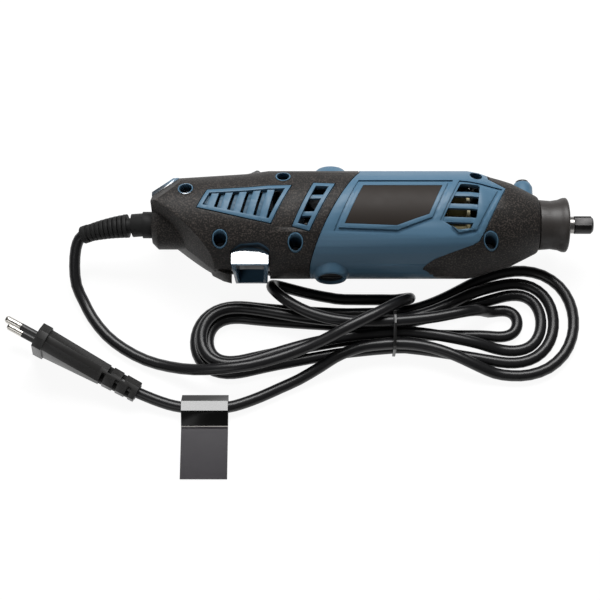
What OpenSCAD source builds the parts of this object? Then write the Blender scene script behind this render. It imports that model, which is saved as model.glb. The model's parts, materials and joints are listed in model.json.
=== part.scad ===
// Mains rotary tool lying on a table, with its cord tied in a hank and a flat two-pin plug.
// The tool's axis is +X (towards the collet), the casing's split plane is horizontal,
// and z = 0 is the table. Sub-parts are drawn in the tool's own axis frame, with x
// counted from the tail face and y, z from the axis, and are then put in place.

/* [Casing] */
// Diameter of the barrel
body_d = 58.4; // [56:0.2:62]
// Length of the tail, from its face to the full diameter
tail_len = 65; // [63:0.5:68]
// Length of the full-diameter barrel
barrel_len = 107; // [105:0.5:112]
// Length of the tapering nose
nose_len = 38; // [37:0.5:41]
// Diameter of the nose at its front edge
nose_d = 30.8; // [30:0.2:31.6]
// Diameter of the tail neck that the cord enters
neck_d = 26.6; // [24:0.2:28]
// Thickness of the soft grip skin
skin_t = 1.6; // [1.2:0.1:2]
// Thickness of the hard casing under the grip
wall_t = 2.4; // [2:0.1:2.8]
// Width of the raised frame around each vent
frame_w = 2.0; // [1.6:0.1:2.4]
// Thickness of the bars across the vents
bar_t = 2.2; // [1.8:0.1:2.6]
// Width of each louvre blade
blade_w = 3.6; // [3:0.1:3.9]

/* [Fastening] */
// Outer diameter of a screw boss
boss_d = 8.0; // [7.8:0.1:8.6]
// Diameter of the recess for a screw head
recess_d = 6.9; // [6.4:0.1:7]
// Diameter of a screw shank
screw_d = 3.0; // [2.6:0.1:3.4]
// Diameter of a screw head
head_d = 6.0; // [5.4:0.1:6.2]

/* [Drive] */
// Diameter of the motor shaft
shaft_d = 8.0; // [7:0.1:8.4]
// Outer diameter of the field core
field_d = 48; // [46:0.5:49]
// Diameter of the armature core
armature_d = 26; // [24:0.5:27]
// Length of the laminated cores
core_len = 32; // [28:0.5:34]
// Diameter of the commutator
commutator_d = 19; // [17:0.5:20]
// Diameter of the cooling fan
fan_d = 44; // [42:0.5:45]
// Diameter of the spindle neck
spindle_d = 9.2; // [8.8:0.1:9.4]
// Diameter of the spindle thread under the collet nut
thread_d = 7.0; // [6.8:0.1:7.2]
// Diameter of the tool shank that the collet grips
shank_d = 3.2; // [2.4:0.1:3.3]
// Radial running clearance of shafts
run_gap = 0.05; // [0.02:0.01:0.08]

/* [Nose] */
// Length of the removable nose cap
cap_len = 15.6; // [14.6:0.2:17.2]
// Diameter of the nose cap at its waist
cap_d = 27.2; // [26.6:0.2:28]
// Diameter of the collet nut
nut_d = 9.7; // [9.3:0.1:10.4]
// Length of the collet nut
nut_len = 10.3; // [9.6:0.1:11.4]

/* [Controls] */
// Diameter of the speed dial
dial_d = 14.4; // [13:0.2:14.8]
// Thickness of the speed dial
dial_t = 6; // [5:0.5:7]
// Travel of the on-off slide
switch_travel = 6; // [4:0.5:7]
// Travel of the spindle lock button
lock_travel = 3; // [2:0.5:3.5]
// Width of the hanging ring along the tool
ring_w = 19.6; // [18:0.2:20]
// Height of the hanging ring across the split plane
ring_h = 26; // [24:0.5:27.5]
// Thickness of the hanging ring's bars
ring_bar = 2.2; // [1.9:0.1:2.8]

/* [Cord] */
// Diameter of the mains cord
cord_d = 6.2; // [6:0.1:6.3]
// Pitch of strands that lie side by side in the hank
strand_pitch = 6.9; // [6.8:0.1:7.2]
// Length of the plug from cord to front face
plug_len = 60.5; // [58:0.5:64]
// Width of the plug's front flange
plug_w = 35.3; // [34:0.1:36]
// Thickness of the plug's front flange
plug_t = 13.7; // [13:0.1:14]
// Diameter of the plug's pins
pin_d = 4.0; // [3.8:0.1:4.2]
// Length of the plug's pins
pin_len = 19; // [18:0.5:20]
// Distance between the plug's pins
pin_pitch = 18.6; // [18:0.1:19.2]

/* [Hidden] */
$fn = 96;

// radii and stations along the axis
body_r = body_d / 2;
neck_r = neck_d / 2;
x_full = tail_len;
x_nose = x_full + barrel_len;
x_front = x_nose + nose_len;
cap_gap = 0.6;
x_cap = x_front + cap_gap;
x_cap_end = x_cap + cap_len;
x_nut = x_cap_end + 3.9;
tool_len = x_nut + nut_len;
// station that stands over the origin
x_mid = tool_len / 2 + 0.25;
tail_face = 2.2;
inner_t = skin_t + wall_t;
frame_rise = 0.3;
edge_gap = 0.5;
grip_gap = 0.08;
fit = 0.15;

// outline of the casing, [station, radius], inset by d
function casing_outline(d) = [
    [tail_face + d, 0], [tail_face + d, body_r - 7.6 - d], [3.2 + d, body_r - 5 - d],
    [15, body_r - 4 - d], [36, body_r - 2.7 - d], [53, body_r - 1.6 - d],
    [x_full, body_r - d], [x_nose, body_r - d],
    [x_nose + 6, body_r - 1.1 - d], [x_nose + 12.5, body_r - 3.4 - d],
    [x_nose + 19, body_r - 5.2 - d], [x_nose + 24, body_r - 6.8 - d],
    [x_front - 1 - d, nose_d / 2 + 0.4 - d],
    [x_front - d, nose_d / 2 - 0.4 - d], [x_front - d, 0]];

// plan outlines of the vents, the plate and the colour boundaries, [station, y]
louvre_outer = [[32.7, 9], [27.5, -1.6], [66.4, -11.4], [77.2, 10.4]];
slot_outer = [[89.0, 12.1], [77.8, -12.8], [86.6, -14.9], [100.2, 11.5]];
hex_outer = [[166, 15], [154.4, -10], [164.7, -18.2], [176, -16.2], [190.4, 11.2]];
hex_inner = [[166.7, 11.8], [156.4, -9.6], [164.7, -14.4], [171.4, -13.8], [174.6, -7.5], [177, 10.9]];
plate_outer = [[112.8, 14.5], [99.4, -15.0], [133.2, -16.2], [152.5, -9.7], [163.0, 14.5]];
// the barrel's hard band lies between the tail grip and the nose grip
tail_edge = concat([[113.8, 40]], [for (y = [22:-2.75:-27.5]) [101 + 0.545 * y + 0.0018 * y * y, y]],
                   [[87.6, -40]]);
nose_edge_top = [[182, 40], [182.3, 17.5], [191.2, 11.6], [177.6, -16.6], [175.8, -19.2], [172.4, -21]];
nose_edge_side = [[163, -23.4], [152.5, -26], [147.4, -28], [146.6, -28.6], [152, -29.3], [152, -40]];
// on the lower half it runs down and forwards from the split plane
nose_edge_under = [[170, -22.6], [159.6, -27.4], [152, -29.3], [152, -40]];
function nose_edge(is_upper) = concat(nose_edge_top, is_upper ? nose_edge_side : nose_edge_under);
function band(is_upper) = let (e = nose_edge(is_upper))
    concat(tail_edge, [for (i = [len(e) - 1:-1:0]) e[i]]);
plate_inset = 3.8;
plate_depth = 0.7;

// screws, [station, y]
tail_screws = [[21, 10.7], [39.6, -17.2], [72.8, 17.9], [79.4, -19.7]];
nose_screw = [182.4, -17.9];
back_screw = [175.9, 19.3];
screw_spots = concat(tail_screws, [nose_screw, back_screw]);
ringed_spots = concat(tail_screws, [nose_screw]);
screw_seat = 5.6;
head_h = 2.4;

// brushes
x_brush = 98.4;
brush_boss_r = 8.2;
brush_boss_foot = 11.5;
brush_boss_taper = 4.8;
brush_face = body_r + 2.3;
cap_r = 6.6;
cap_floor = brush_face - 7.1;
holder_w = 8;
holder_h = 9;
brush_w = 5.2;
brush_h = 6.4;
brush_len = 8.6;

// motor
x_core = 118;
x_fan = 160.8;
fan_len = 11;
coil_overhang = 9;
x_rear_bearing = 79;
rear_bearing_d = 16;
rear_bearing_w = 5;
rear_shaft_d = 5;
x_front_bearing = x_nose + 8.5;
front_bearing_d = 22;
front_bearing_w = 7;
x_spindle_bearing = x_front - 18.5;
spindle_bearing_d = 19;
spindle_bearing_w = 6;
x_lock = x_front - 8.9;
lock_boss_r = 5.5;
lock_boss_chamfer = 2.4;
lock_top = body_r - 4.6;
lock_flange_d = 14;
lock_flange_w = 4.6;
lock_pin_d = 3.6;
collet_d = 5.6;
air_gap = 0.45;

// controls
switch_x = 44;
switch_plate = 17;
switch_half = 6;
dial_spot = [11.5, 14.8];
ring_x = 55.3;
ring_back = body_r - 9.6;
pocket_floor = body_r - 10.6;
ring_arch_r = 16;
ring_taper = 1.6;
ring_lift = 1;
ring_pin_y = 4.8 - body_r;
ring_pin_z = -8.8;
ring_pin_d = 1.8;
ring_pin_reach = 2.6;
ring_pin_len = 5.4;
switch_back = body_r - 7.2;

// ---------------------------------------------------------------- helpers

module placed() translate([-x_mid, 0, body_r]) children();
module along_x() rotate([0, 90, 0]) children();
module lathe(outline) along_x() rotate_extrude() polygon([for (p = outline) [p[1], p[0]]]);
module rod(x, len, d) translate([x, 0, 0]) along_x() cylinder(h = len, d = d);
module post_y(x, y0, y1, r) translate([x, y0, 0]) rotate([-90, 0, 0]) cylinder(h = y1 - y0, r = r);

// a closed outline with every edge moved in by d; the outline runs anticlockwise
function cross2(a, b) = a[0] * b[1] - a[1] * b[0];
function edge_shift(a, b, d) = let (e = (b - a) / norm(b - a)) [a + d * [-e[1], e[0]], e];
function meet(p, q) = p[0] + p[1] * (cross2(q[0] - p[0], q[1]) / cross2(p[1], q[1]));
function inset(pts, d) = let (n = len(pts), e = [for (i = [0:n - 1])
    edge_shift(pts[i], pts[(i + 1) % n], d)]) [for (i = [0:n - 1]) meet(e[(i + n - 1) % n], e[i])];

module plan(pts) translate([0, 0, 0]) linear_extrude(body_r + 2) polygon(pts);

// the upper half of the casing's solid form, inset by d
module half_form(d, leaning = true) {
    lean = 9.1;
    turn = 50.2;
    shoulder_lean = 33;
    shoulder_z = 7.5;
    difference() {
        lathe(casing_outline(d));
        translate([-5, -50, -100]) cube([tool_len + 20, 100, 100]);
        // the long flank that slants back from the neck
        translate([3.5, 0, 0]) rotate([0, 0, turn]) rotate([0, lean, 0])
            translate([-80, -80, -20]) cube([80 + d, 160, 80]);
        // the shoulder that the speed dial looks out of
        translate([3, 15.4, 0]) rotate([0, 0, 36.5]) {
            translate([-40, -d, -20]) cube([90, 40, 80]);
            if (leaning) translate([-40, -d / cos(shoulder_lean), shoulder_z]) rotate([shoulder_lean, 0, 0])
                translate([0, 0, -20]) cube([90, 40, 80]);
        }
    }
    // the neck
    difference() {
        lathe([[tail_face + d, 0], [tail_face + d, neck_r - 3.2 - d], [5.4 + d, neck_r - d],
               [46, neck_r - d], [46, 0]]);
        translate([-5, -50, -100]) cube([tool_len + 20, 100, 100]);
    }
}

// the part of the casing between two insets
module half_layer(outer, inner) difference() { half_form(outer); half_form(inner); }

// one inclined bar of a vent, from [x0, y0] to [x1, y1] in plan
module plan_bar(a, b, t) {
    e = b - a;
    translate([a[0], a[1], 0]) rotate([0, 0, atan2(e[1], e[0])])
        translate([0, -t / 2, 0]) cube([norm(e), t, body_r + 2]);
}

// ---------------------------------------------------------------- casing

module vent_frames() for (v = [louvre_outer, slot_outer]) plan(v);

module vent_holes() for (v = [inset(louvre_outer, frame_w), inset(slot_outer, frame_w),
                              hex_inner]) plan(v);

// louvre blades; each has a lower step that closes most of the gap beside it
module blades(shift) for (i = [0:4]) {
    low = [33.8 + 6.97 * i + shift, -4 - 1.6 * i];
    high = [37.8 + 7.4 * i + shift, 9 + 0.4 * i];
    plan_bar(low - 0.5 * (high - low), high + 0.5 * (high - low), blade_w);
}
module vent_bars() {
    for (y = [3.4, -6.2]) intersection() {
        plan_bar([76, y], [102, y + 0.6], bar_t);
        plan(slot_outer);
    }
    for (i = [0:2]) intersection() {
        plan_bar([152, -8.7 + i * 7.3], [184, -9.7 + i * 7.3], bar_t + 0.4);
        plan(hex_outer);
    }
}

module screw_bosses(spots, r, top) intersection() {
    for (s = spots) translate([s[0], s[1], 0]) cylinder(h = body_r + 2, r = r);
    half_form(top);
}

module hard_half(is_upper) {
    difference() {
        union() {
            half_layer(skin_t, inner_t);
            // the hard band around the barrel, at full diameter
            intersection() { half_layer(0, inner_t - 1); plan(band(is_upper)); }
            // raised vent frames and bars
            intersection() { half_layer(is_upper ? -frame_rise : 0, inner_t); vent_frames(); }
            // hard rim around the speed dial
            intersection() {
                difference() { half_form(-frame_rise, false); half_form(inner_t, false); }
                dial_rim();
            }
            vent_bars_kept();
            screw_bosses(screw_spots, boss_d / 2, skin_t + 0.4);
            if (is_upper) screw_bosses(ringed_spots, boss_d / 2, -frame_rise / 2);
            // brush bosses on both sides
            for (s = [-1, 1]) scale([1, s, 1]) half_y_boss();
            // floor and sides of the hanging ring's pocket
            intersection() {
                half_form(skin_t);
                translate([ring_x - ring_w / 2 - 4, -40, 0])
                    cube([ring_w + 8, 40 - pocket_floor + wall_t, 40]);
            }
            // seats of the bearings and ribs that grip the field core
            ring_seat(x_rear_bearing, rear_bearing_w, rear_bearing_d);
            ring_seat(x_front_bearing, front_bearing_w, front_bearing_d);
            ring_seat(x_core + 1, 3, field_d);
            ring_seat(x_core + core_len - 4, 3, field_d);
            intersection() {
                half_form(skin_t);
                translate([x_spindle_bearing - 1, -20, 0])
                    cube([x_front - x_spindle_bearing + 1, 40, 20]);
            }
            // the thread that the nose cap screws on
            difference() {
                rod(x_front - 2, 12, 18);
                translate([x_front - 3, -20, -40]) cube([20, 40, 40]);
            }
            if (!is_upper) clamp_saddle();
            // boss of the spindle lock
            difference() {
                lock_boss();
                translate([x_lock - 10, 0, -20]) cube([25, 40, 20]);
            }
        }
        // vents, with their bars left standing
        difference() { vent_holes(); vent_bars_kept(); }
        screw_holes(is_upper);
        bores();
        ring_pocket();
        switch_slot();
        dial_slot();
        if (is_upper) plate_recess();
        // the channel around the front vent
        intersection() {
            half_layer(-1, 0.9);
            difference() { plan(inset(hex_outer, 0.6)); plan(inset(hex_outer, 2.4)); }
        }
        if (!is_upper) clamp_bores();
        if (!is_upper) pin_holes();
        if (!is_upper) control_pocket();
    }
}

module vent_bars_kept() {
    intersection() { half_layer(1.4, inner_t - 0.4); vent_bars(); }
    intersection() { half_layer(0.5, 2.4); blades(0); plan(louvre_outer); }
    intersection() { half_layer(2.3, 3.8); blades(-2.3); plan(louvre_outer); }
}

module brush_boss() {
    post_y(x_brush, 13, brush_face - brush_boss_taper, brush_boss_foot);
    translate([x_brush, brush_face - brush_boss_taper, 0]) rotate([-90, 0, 0])
        cylinder(h = brush_boss_taper, r1 = brush_boss_foot, r2 = brush_boss_r);
}
module lock_boss() translate([x_lock + lock_flange_w / 2, 0, 0]) rotate([-90, 0, 0]) {
    translate([0, 0, 12]) cylinder(h = lock_top - lock_boss_chamfer - 12, r = lock_boss_r);
    translate([0, 0, lock_top - lock_boss_chamfer])
        cylinder(h = lock_boss_chamfer, r1 = lock_boss_r, r2 = 4.3);
}
module half_y_boss() difference() {
    brush_boss();
    translate([x_brush - 12, 0, -12]) cube([24, 40, 12]);
}

// a rib across the casing that holds a round part of diameter d
module ring_seat(x, w, d) difference() {
    intersection() {
        half_form(skin_t);
        translate([x, -40, 0]) cube([w, 80, 40]);
    }
    rod(x - 1, w + 2, d);
}

module screw_holes(is_upper) for (s = screw_spots) translate([s[0], s[1], 0]) {
    if (is_upper) {
        translate([0, 0, screw_seat]) cylinder(h = 40, d = recess_d);
        translate([0, 0, -1]) cylinder(h = 20, d = screw_d + 0.3);
    } else {
        translate([0, 0, -1]) cylinder(h = 10, d = screw_d);
    }
}

module bores() {
    // cord entry, with the groove of the cord guard
    rod(-1, 20, guard_neck_d);
    rod(4.8, 3.2, guard_lock_d);
    // room for the shafts and the seats of the bearings
    rod(x_rear_bearing - 6, 30, 12);
    rod(x_rear_bearing, rear_bearing_w, rear_bearing_d);
    rod(x_core - 12, core_len + 30, field_d);
    rod(x_fan - 1.5, fan_len + 3, fan_d + 3);
    rod(x_front_bearing - 8, 30, 15.4);
    rod(x_front_bearing, front_bearing_w, front_bearing_d);
    rod(x_lock - 1.5, lock_flange_w + 3, lock_flange_d + 2);
    rod(x_spindle_bearing, spindle_bearing_w, spindle_bearing_d);
    rod(x_spindle_bearing, 30, 13);
    // brush holders and their caps
    for (s = [-1, 1]) scale([1, s, 1]) {
        post_y(x_brush, cap_floor, 40, cap_r + 0.1);
        translate([x_brush - holder_w / 2 - 0.1, 0, -holder_h / 2 - 0.1])
            cube([holder_w + 0.2, 30, holder_h + 0.2]);
    }
    // spindle lock button and its pin
    post_y(x_lock + lock_flange_w / 2, lock_top - 8.2, 40, 3.6);
    post_y(x_lock + lock_flange_w / 2, 0, 30, lock_pin_d / 2 + 0.15);
}

module ring_pocket() {
    // the pocket's back wall is arched, as the ring is
    translate([0, 0, -1]) linear_extrude(60) pocket_plan();
}
// holes for the ring's pins, drawn in the lower half's mirrored frame
module pin_holes() translate([ring_x - ring_w / 2 - ring_pin_reach, ring_pin_y, -ring_pin_z])
    along_x() cylinder(h = ring_w + 2 * ring_pin_reach, d = ring_pin_d);

// arched outline, d larger all round than the ring
module arch_plan(d) difference() {
    intersection() {
        translate([ring_x - ring_w / 2 - d, -60]) square([ring_w + 2 * d, 60 - ring_back + d]);
        translate([ring_x, -ring_back - ring_arch_r + d]) circle(r = ring_arch_r + d);
    }
}
module pocket_plan() {
    arch_plan(0.6);
    translate([ring_x - ring_w / 2 - 0.6, -60]) square([ring_w + 1.2, 62.2 - body_r]);
}

module switch_slot() translate([switch_x - 0.6, switch_back, -switch_half - 0.3])
    cube([switch_plate + switch_travel + 1.2, 20, 2 * switch_half + 0.6]);

module dial_rim() translate([dial_spot[0], dial_spot[1], 0]) cylinder(h = 10, r = 9.8);

// the saddle under the cord, drawn in the lower half's mirrored frame
clamp_x = 9.4;
clamp_w = 6;
clamp_screw_y = 5.3;
module clamp_saddle() intersection() {
    half_form(skin_t);
    translate([clamp_x, -7, 0.1]) cube([clamp_w, 13.9, 20]);
}
module clamp_bores() {
    rod(clamp_x - 1, clamp_w + 2, cord_d);
    for (s = [-1, 1]) translate([clamp_x + clamp_w / 2, s * clamp_screw_y, -1])
        cylinder(h = 7, d = 2);
}

// room under the dial for the speed control, in the lower half's mirrored frame
module control_pocket() translate([dial_spot[0], dial_spot[1], 0]) cylinder(h = 7.8, r = 3);

module dial_slot() translate([dial_spot[0], dial_spot[1], -dial_t / 2 - 0.4])
    cylinder(h = dial_t + 0.8, r = dial_d / 2 + 0.6);

module plate_recess() {
    intersection() { half_layer(-1, plate_depth); plan(inset(plate_outer, plate_inset)); }
    // the fine groove around the plate's border
    intersection() {
        half_layer(-1, 0.9);
        difference() { plan(plate_outer); plan(inset(plate_outer, 1.8)); }
    }
}

module upper_housing() placed() color("steelblue") hard_half(true);
module lower_housing() placed() color("steelblue") mirror([0, 0, 1]) hard_half(false);

// the band and a fine gap beside it, which parts it from the grips
module band_cut(is_upper) for (shift = [-edge_gap, 0, edge_gap]) translate([shift, 0, 0])
    plan(band(is_upper));

module grip_cuts(is_upper) {
    for (v = [louvre_outer, slot_outer]) plan(inset(v, -edge_gap));
    if (is_upper) for (s = ringed_spots) translate([s[0], s[1], 0])
        cylinder(h = 40, d = boss_d + edge_gap);
    ring_pocket();
    if (!is_upper) pin_holes();
    switch_slot();
    dial_rim();
    for (s = [-1, 1]) scale([1, s, 1]) brush_boss();
    rod(-1, 20, guard_neck_d);
    post_y(x_lock + lock_flange_w / 2, 10, 40, lock_boss_r + 0.4);
    // the nose's front face is open for the spindle and the cap's thread
    rod(x_front - 6, 10, 21);
}

// the lower grip swells towards the hanging ring, drawn in the mirrored frame
cheek_outline = [[33, 7.2], [34.5, 4.3], [40.5, 1.1], [45, -0.2], [45, 7.2]];
module cheek() difference() {
    translate([0, -body_r]) linear_extrude(12) polygon(cheek_outline);
    half_form(skin_t);
}
module tail_grip(is_upper) difference() {
    union() {
        half_layer(0, skin_t);
        if (!is_upper) cheek();
    }
    band_cut(is_upper);
    translate([130, -50, -1]) cube([200, 100, 60]);
    grip_cuts(is_upper);
}

module nose_grip(is_upper) difference() {
    half_layer(0, skin_t - grip_gap);
    band_cut(is_upper);
    translate([-10, -50, -1]) cube([140, 100, 60]);
    grip_cuts(is_upper);
}

module tail_grip_upper() placed() color([0.13, 0.12, 0.11]) tail_grip(true);
module tail_grip_lower() placed() color([0.13, 0.12, 0.11]) mirror([0, 0, 1]) tail_grip(false);
module nose_grip_upper() placed() color([0.13, 0.12, 0.11]) nose_grip(true);
module nose_grip_lower() placed() color([0.13, 0.12, 0.11]) mirror([0, 0, 1]) nose_grip(false);

module rating_plate() placed() color([0.2, 0.17, 0.15]) intersection() {
    half_layer(0.1, plate_depth);
    plan(inset(plate_outer, plate_inset + fit));
}

module housing_screws() placed() color("silver") for (s = screw_spots)
    translate([s[0], s[1], 0]) {
        difference() {
            translate([0, 0, screw_seat]) cylinder(h = head_h, d = head_d);
            for (a = [0, 90]) rotate([0, 0, a])
                translate([-1.9, -0.45, screw_seat + head_h - 1.2]) cube([3.8, 0.9, 2]);
        }
        translate([0, 0, -8.5]) cylinder(h = 8.5 + screw_seat, d = screw_d);
    }

// ---------------------------------------------------------------- brushes

module on_side(s) placed() scale([1, s, 1]) children();

module brush_cap() color([0.12, 0.12, 0.13]) difference() {
    post_y(x_brush, cap_floor, brush_face - 1.2, cap_r);
    translate([x_brush - 5, brush_face - 2.4, -0.8]) cube([10, 3, 1.6]);
}
module brush_holder() color("goldenrod") difference() {
    translate([x_brush - holder_w / 2, 12.5, -holder_h / 2])
        cube([holder_w, cap_floor - 12.5, holder_h]);
    translate([x_brush - brush_w / 2 - 0.1, 0, -brush_h / 2 - 0.1])
        cube([brush_w + 0.2, 40, brush_h + 0.2]);
}
module carbon_brush() color([0.25, 0.25, 0.26]) difference() {
    translate([x_brush - brush_w / 2, commutator_d / 2 - 0.6, -brush_h / 2])
        cube([brush_w, brush_len, brush_h]);
    rod(x_brush - 10, 20, commutator_d + 0.1);
}
module brush_spring() color("silver") difference() {
    post_y(x_brush, commutator_d / 2 - 0.6 + brush_len, cap_floor, 2.4);
    post_y(x_brush, commutator_d / 2, cap_floor + 1, 1.8);
}
module brush_cap_front() on_side(-1) brush_cap();
module brush_cap_back() on_side(1) brush_cap();
module brush_holder_front() on_side(-1) brush_holder();
module brush_holder_back() on_side(1) brush_holder();
module carbon_brush_front() on_side(-1) carbon_brush();
module carbon_brush_back() on_side(1) carbon_brush();
module brush_spring_front() on_side(-1) brush_spring();
module brush_spring_back() on_side(1) brush_spring();

// ---------------------------------------------------------------- motor

// the two saddle coils lie above and below the armature
module coil_form(x, len, r_in, r_out) intersection() {
    difference() { rod(x, len, 2 * r_out); rod(x - 1, len + 2, 2 * r_in); }
    union() for (s = [-1, 1]) translate([x - 1, -13, s > 0 ? 4 : -34]) cube([len + 2, 26, 30]);
}
coil_in = armature_d / 2 + 1.2;
coil_out = field_d / 2 - 4.6;
module field_core() placed() color("gray") difference() {
    intersection() {
        rod(x_core, core_len, field_d);
        translate([x_core - 1, -21.5, -30]) cube([core_len + 2, 43, 60]);
    }
    rod(x_core - 1, core_len + 2, armature_d + 2 * air_gap);
    coil_form(x_core - 1, core_len + 2, coil_in - 0.15, coil_out + 0.15);
}
module field_coils() placed() color([0.6, 0.4, 0.15])
    coil_form(x_core - coil_overhang, core_len + 2 * coil_overhang, coil_in, coil_out);

module bearing(x, w, d, bore) color("silver") difference() {
    rod(x, w, d);
    rod(x - 1, w + 2, bore + 2 * run_gap);
    for (s = [-1, w - 0.5]) translate([x + s, 0, 0]) along_x() difference() {
        cylinder(h = 1.5, d = d - 4.4);
        translate([0, 0, -1]) cylinder(h = 4, d = bore + 4);
    }
}
module rear_bearing() placed() bearing(x_rear_bearing, rear_bearing_w, rear_bearing_d, rear_shaft_d);
module front_bearing() placed() bearing(x_front_bearing, front_bearing_w, front_bearing_d, shaft_d);
module spindle_bearing() placed()
    bearing(x_spindle_bearing, spindle_bearing_w, spindle_bearing_d, shaft_d);

module motor_shaft() placed() color("silver") difference() {
    union() {
        rod(x_rear_bearing - 0.5, x_brush - x_rear_bearing, rear_shaft_d);
        rod(x_brush - 7, x_cap_end - x_brush, shaft_d);
        rod(x_front_bearing + front_bearing_w + 0.4, 3.2, 12.4);
        rod(x_lock, lock_flange_w, lock_flange_d);
        rod(x_spindle_bearing + spindle_bearing_w + 0.1, x_nut - 0.3 - x_spindle_bearing
            - spindle_bearing_w, spindle_d);
        rod(x_nut - 1, 6.4, thread_d);
    }
    // holes of the spindle lock, a quarter turn apart
    for (a = [0, 90]) rotate([a, 0, 0])
        post_y(x_lock + lock_flange_w / 2, -10, 10, lock_pin_d / 2 + 0.2);
    // bore that takes the collet
    rod(x_nut - 4, 20, collet_d + 0.1);
}
module armature_core() placed() color("dimgray") difference() {
    rod(x_core, core_len, armature_d);
    rod(x_core - 1, core_len + 2, shaft_d);
    for (a = [15:30:345]) rotate([a, 0, 0])
        translate([x_core - 1, -0.9, armature_d / 2 - 4]) cube([core_len + 2, 1.8, 5]);
}
module winding_bundle(x, len) difference() {
    lathe([[x, 0], [x, 9], [x + 1.5, 11.4], [x + len - 1.5, 11.4], [x + len, 9], [x + len, 0]]);
    rod(x - 1, len + 2, shaft_d);
}
module armature_windings() placed() color([0.6, 0.35, 0.15]) {
    winding_bundle(x_core - 9, 8.9);
    winding_bundle(x_core + core_len + 0.1, 8.9);
}
module commutator() placed() color([0.72, 0.45, 0.25]) difference() {
    rod(x_brush - 6.6, 14, commutator_d);
    rod(x_brush - 8, 17, shaft_d);
    for (a = [0:20:340]) rotate([a, 0, 0])
        translate([x_brush - 8, -0.2, commutator_d / 2 - 1]) cube([17, 0.4, 3]);
}
module cooling_fan() placed() color([0.5, 0.45, 0.3]) {
    difference() {
        union() { rod(x_fan, fan_len, 16); rod(x_fan + fan_len - 1.6, 1.6, fan_d); }
        rod(x_fan - 1, fan_len + 2, shaft_d);
    }
    for (a = [0:30:330]) rotate([a, 0, 0])
        translate([x_fan, -0.6, 7.6]) cube([fan_len - 1, 1.2, fan_d / 2 - 8.4]);
}

// ---------------------------------------------------------------- nose and collet

module nose_cap() placed() color([0.12, 0.11, 0.11]) difference() {
    lathe([[x_cap, 0], [x_cap, cap_d / 2 - 0.3], [x_cap + 0.4, cap_d / 2],
           [x_cap + cap_len * 0.42, cap_d / 2 - 0.5], [x_cap + cap_len * 0.68, cap_d / 2 + 0.1],
           [x_cap + cap_len * 0.84, cap_d / 2 + 1.1], [x_cap + cap_len * 0.95, cap_d / 2 + 1.2],
           [x_cap_end, cap_d / 2 + 0.3], [x_cap_end, 0]]);
    rod(x_cap - 1, 12, 18.4);
    rod(x_cap, cap_len + 2, 13.2);
}
module collet() placed() color("silver") difference() {
    lathe([[x_nut - 3.8, 0], [x_nut - 3.8, collet_d / 2], [x_nut + 5.6, collet_d / 2],
           [x_nut + 5.9, thread_d / 2 - 0.3], [x_nut + 7, thread_d / 2 - 0.3],
           [x_nut + nut_len - 0.4, 2.5], [x_nut + nut_len - 0.4, 0]]);
    rod(x_nut - 5, 30, shank_d);
    for (a = [45, 135]) rotate([a, 0, 0])
        translate([x_nut - 1, -0.3, -6]) cube([nut_len + 4, 0.6, 12]);
}
module collet_nut() placed() color([0.1, 0.1, 0.1]) difference() {
    intersection() {
        lathe([[x_nut, 0], [x_nut, nut_d / 2 - 0.3], [x_nut + 0.4, nut_d / 2],
               [x_nut + nut_len - 1.2, nut_d / 2], [x_nut + nut_len, nut_d / 2 - 1.2],
               [x_nut + nut_len, 0]]);
        translate([x_nut, -10, -nut_d / 2 + 0.5]) cube([nut_len, 20, nut_d - 1]);
    }
    lathe([[x_nut - 1, 0], [x_nut - 1, thread_d / 2 + run_gap], [x_nut + 7.1, thread_d / 2 + run_gap],
           [x_nut + nut_len - 0.3, 2.7], [x_nut + nut_len + 1, 2.7], [x_nut + nut_len + 1, 0]]);
}

// ---------------------------------------------------------------- controls

module lock_button() placed() color([0.12, 0.12, 0.12]) {
    difference() {
        post_y(x_lock + lock_flange_w / 2, lock_top - 4.8, lock_top + 1.4, 3.45);
        post_y(x_lock + lock_flange_w / 2, lock_top + 1, 30, 2.2);
    }
    post_y(x_lock + lock_flange_w / 2, 8.6, lock_top - 4.7, lock_pin_d / 2);
}
module lock_spring() placed() color("silver") difference() {
    post_y(x_lock + lock_flange_w / 2, lock_top - 8.1, lock_top - 4.9, 3.3);
    post_y(x_lock + lock_flange_w / 2, lock_top - 9, lock_top - 4, 2.6);
}
module switch_slider() placed() color([0.12, 0.12, 0.12]) {
    difference() {
        intersection() {
            translate([switch_x, switch_back, -switch_half])
                cube([switch_plate, 20, 2 * switch_half]);
            lathe([[switch_x, 0], [switch_x, body_r - 1.7], [switch_x + switch_plate, body_r - 0.6],
                   [switch_x + switch_plate, 0]]);
        }
        rod(switch_x - 1, switch_plate + 2, 2 * (body_r - 3.7));
    }
    // the thumb ridge and the stem that moves the switch
    translate([switch_x, 0, -switch_half + 0.6]) linear_extrude(2 * switch_half - 1.2)
        polygon([[6.5, body_r - 2.7], [6.5, body_r - 1.7], [11, body_r - 0.5], [14.2, body_r + 1.2],
                 [15.4, body_r + 1], [switch_plate, body_r - 0.9], [switch_plate, body_r - 2.7]]);
    translate([switch_x + 6, switch_back - 0.3, -2]) cube([4, 5, 4]);
}
module power_switch() placed() color([0.15, 0.15, 0.16])
    translate([switch_x - 3, switch_back - 10.5, -6.5]) cube([26, 10, 13]);
module speed_dial() placed() color("steelblue") difference() {
    translate([dial_spot[0], dial_spot[1], -dial_t / 2]) cylinder(h = dial_t, d = dial_d);
    for (a = [0:12:348]) translate([dial_spot[0], dial_spot[1], -dial_t / 2 - 1])
        rotate([0, 0, a]) translate([dial_d / 2, 0, 0]) rotate([0, 0, 45])
            translate([-0.3, -0.3, 0]) cube([0.6, 0.6, dial_t + 2]);
    translate([dial_spot[0], dial_spot[1], -dial_t]) cylinder(h = 2 * dial_t, d = 3 + 2 * run_gap);
}
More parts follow.
